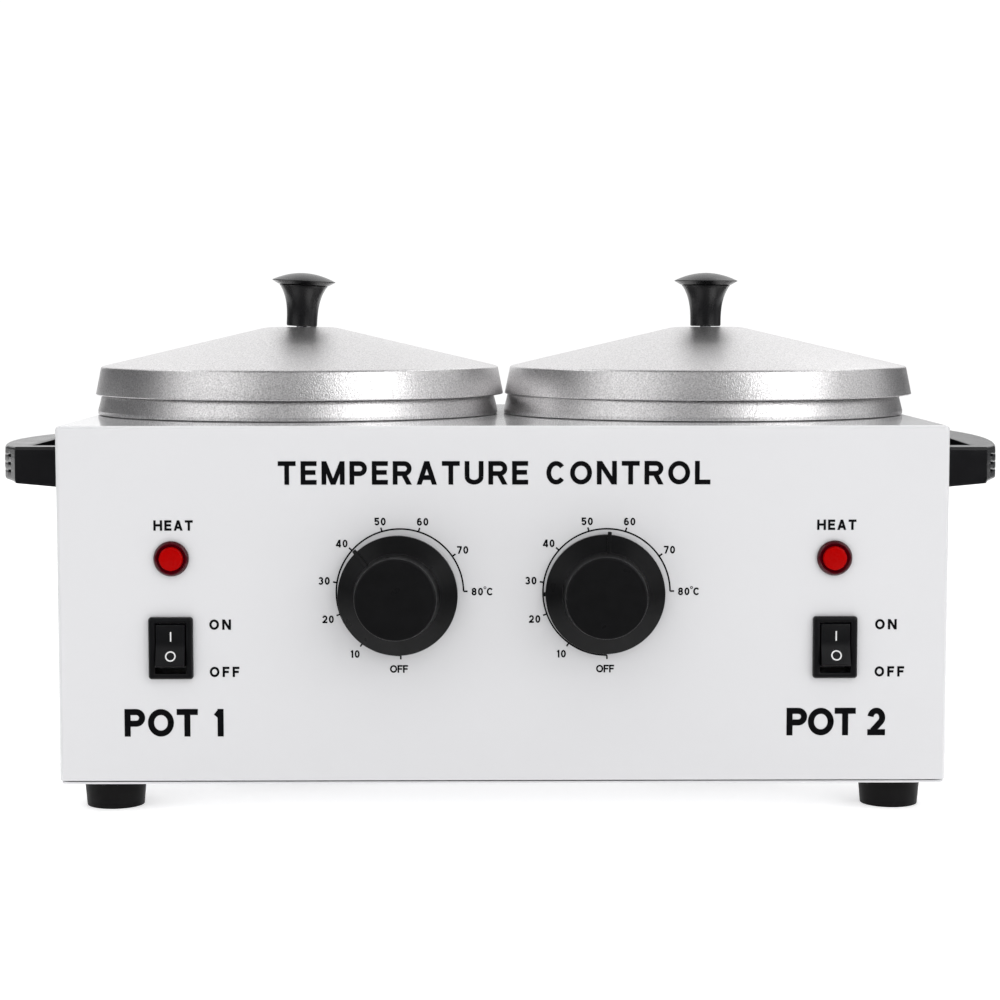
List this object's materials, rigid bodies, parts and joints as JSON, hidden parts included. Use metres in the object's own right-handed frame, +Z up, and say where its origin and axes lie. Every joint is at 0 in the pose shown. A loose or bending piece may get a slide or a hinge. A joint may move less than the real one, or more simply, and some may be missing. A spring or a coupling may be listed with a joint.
{
  "type": "double wax warmer pot",
  "caption": "Painted steel casing on rubber feet with heated aluminium pots side by side, lift-off conical lids, thermostat dials, pilot lamps, rocker switches and side handles.",
  "frame": {"origin": "middle of the whole object's outline, on the plane that its feet stand on", "axes": "+X to the right along the front panel, +Y from the front panel to the back, +Z up"},
  "size_m": [0.3596, 0.2036, 0.1842],
  "materials": {
    "white_paint": "glossy white baked enamel",
    "satin_aluminium": "fine sand-blasted satin",
    "black_bakelite": "semi-gloss moulded phenolic",
    "dial_plastic": "satin moulded plastic",
    "handle_plastic": "satin moulded plastic",
    "switch_plastic": "moulded, slightly glossy",
    "rubber_feet": "matt moulded rubber",
    "lamp_red": "clear tinted moulding",
    "white_plastic": "moulded nylon",
    "zinc_steel": "zinc plated",
    "brass": "drawn brass",
    "copper": "drawn copper",
    "glass_fibre": "needled glass-fibre felt",
    "wire_sleeve": "woven glass sleeve over the wires"
  },
  "bodies": {
    "casing": {"outer_shell": "white_paint", "base_plate": "white_paint", "foot_front_left": "rubber_feet", "foot_screw_front_left": "zinc_steel", "handle_screw_front_left": "zinc_steel", "foot_front_right": "rubber_feet", "foot_screw_front_right": "zinc_steel", "handle_screw_front_right": "zinc_steel", "foot_rear_left": "rubber_feet", "foot_screw_rear_left": "zinc_steel", "handle_screw_rear_left": "zinc_steel", "foot_rear_right": "rubber_feet", "foot_screw_rear_right": "zinc_steel", "handle_screw_rear_right": "zinc_steel", "pot_left": "satin_aluminium", "heater_band_left": "zinc_steel", "band_screw_left": "zinc_steel", "pot_bracket_left": "zinc_steel", "thermostat_left": "zinc_steel", "thermostat_nut_left": "zinc_steel", "insulation_wrap_left": "glass_fibre", "capillary_sensor_left": "copper", "lamp_lens_left": "lamp_red", "lamp_holder_left": "white_plastic", "switch_housing_left": "switch_plastic", "handle_left": "handle_plastic", "wire_loom_left": "wire_sleeve", "pot_right": "satin_aluminium", "heater_band_right": "zinc_steel", "band_screw_right": "zinc_steel", "pot_bracket_right": "zinc_steel", "thermostat_right": "zinc_steel", "thermostat_nut_right": "zinc_steel", "insulation_wrap_right": "glass_fibre", "capillary_sensor_right": "copper", "lamp_lens_right": "lamp_red", "lamp_holder_right": "white_plastic", "switch_housing_right": "switch_plastic", "handle_right": "handle_plastic", "wire_loom_right": "wire_sleeve", "power_inlet": "switch_plastic", "inlet_pin_line": "brass", "inlet_pin_neutral": "brass", "inlet_pin_earth": "brass", "terminal_block": "white_plastic"},
    "lid_left": {"lid_left": "satin_aluminium", "knob_stem_left": "black_bakelite", "knob_cap_left": "black_bakelite", "knob_screw_left": "zinc_steel"},
    "dial_left": {"dial_left": "dial_plastic", "thermostat_shaft_left": "zinc_steel"},
    "rocker_left": {"switch_rocker_left": "switch_plastic"},
    "lid_right": {"lid_right": "satin_aluminium", "knob_stem_right": "black_bakelite", "knob_cap_right": "black_bakelite", "knob_screw_right": "zinc_steel"},
    "dial_right": {"dial_right": "dial_plastic", "thermostat_shaft_right": "zinc_steel"},
    "rocker_right": {"switch_rocker_right": "switch_plastic"}
  },
  "joints": [
    {"name": "lid_left_lift", "type": "slide", "parent": "casing", "child": "lid_left", "axis": [0, 0, 1], "range_m": [0, 0.12]},
    {"name": "lid_right_lift", "type": "slide", "parent": "casing", "child": "lid_right", "axis": [0, 0, 1], "range_m": [0, 0.12]},
    {"name": "dial_left_turn", "type": "hinge", "parent": "casing", "child": "dial_left", "pos_m": [-0.03475, -0.0807, 0.0757], "axis": [0, -1, 0], "range_deg": [-133.2, 136.5]},
    {"name": "dial_right_turn", "type": "hinge", "parent": "casing", "child": "dial_right", "pos_m": [0.03475, -0.0807, 0.0757], "axis": [0, -1, 0], "range_deg": [-85.2, 184.5]},
    {"name": "rocker_left_tip", "type": "hinge", "parent": "casing", "child": "rocker_left", "pos_m": [-0.1118, -0.0777, 0.057], "axis": [1, 0, 0], "range_deg": [0, 20]},
    {"name": "rocker_right_tip", "type": "hinge", "parent": "casing", "child": "rocker_right", "pos_m": [0.1118, -0.0777, 0.057], "axis": [1, 0, 0], "range_deg": [0, 20]}
  ]
}
